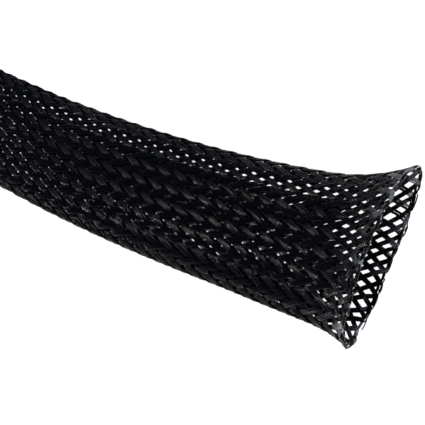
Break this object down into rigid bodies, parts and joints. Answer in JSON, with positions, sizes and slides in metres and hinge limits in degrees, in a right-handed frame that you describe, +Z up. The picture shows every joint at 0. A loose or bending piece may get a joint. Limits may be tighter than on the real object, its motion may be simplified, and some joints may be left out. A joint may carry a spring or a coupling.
{
  "type": "braided cable sleeve",
  "caption": "Cut length of expandable braided monofilament sleeving, flattened oval in section, gently curved, with a flared open mouth; slips over a bundle of cables.",
  "frame": {"origin": "middle of the bounding box, on the surface that the sleeve lies on", "axes": "+X along the straight run, from the cut tail end towards the flared mouth; +Z up from the surface; +Y to the left of the run, the way the mouth bends"},
  "size_m": [0.3062, 0.0316, 0.0098],
  "materials": {
    "black_polyester": "drawn polyester monofilament, black, glossy"
  },
  "bodies": {
    "root": {"braided_sleeve": "black_polyester"}
  },
  "joints": []
}
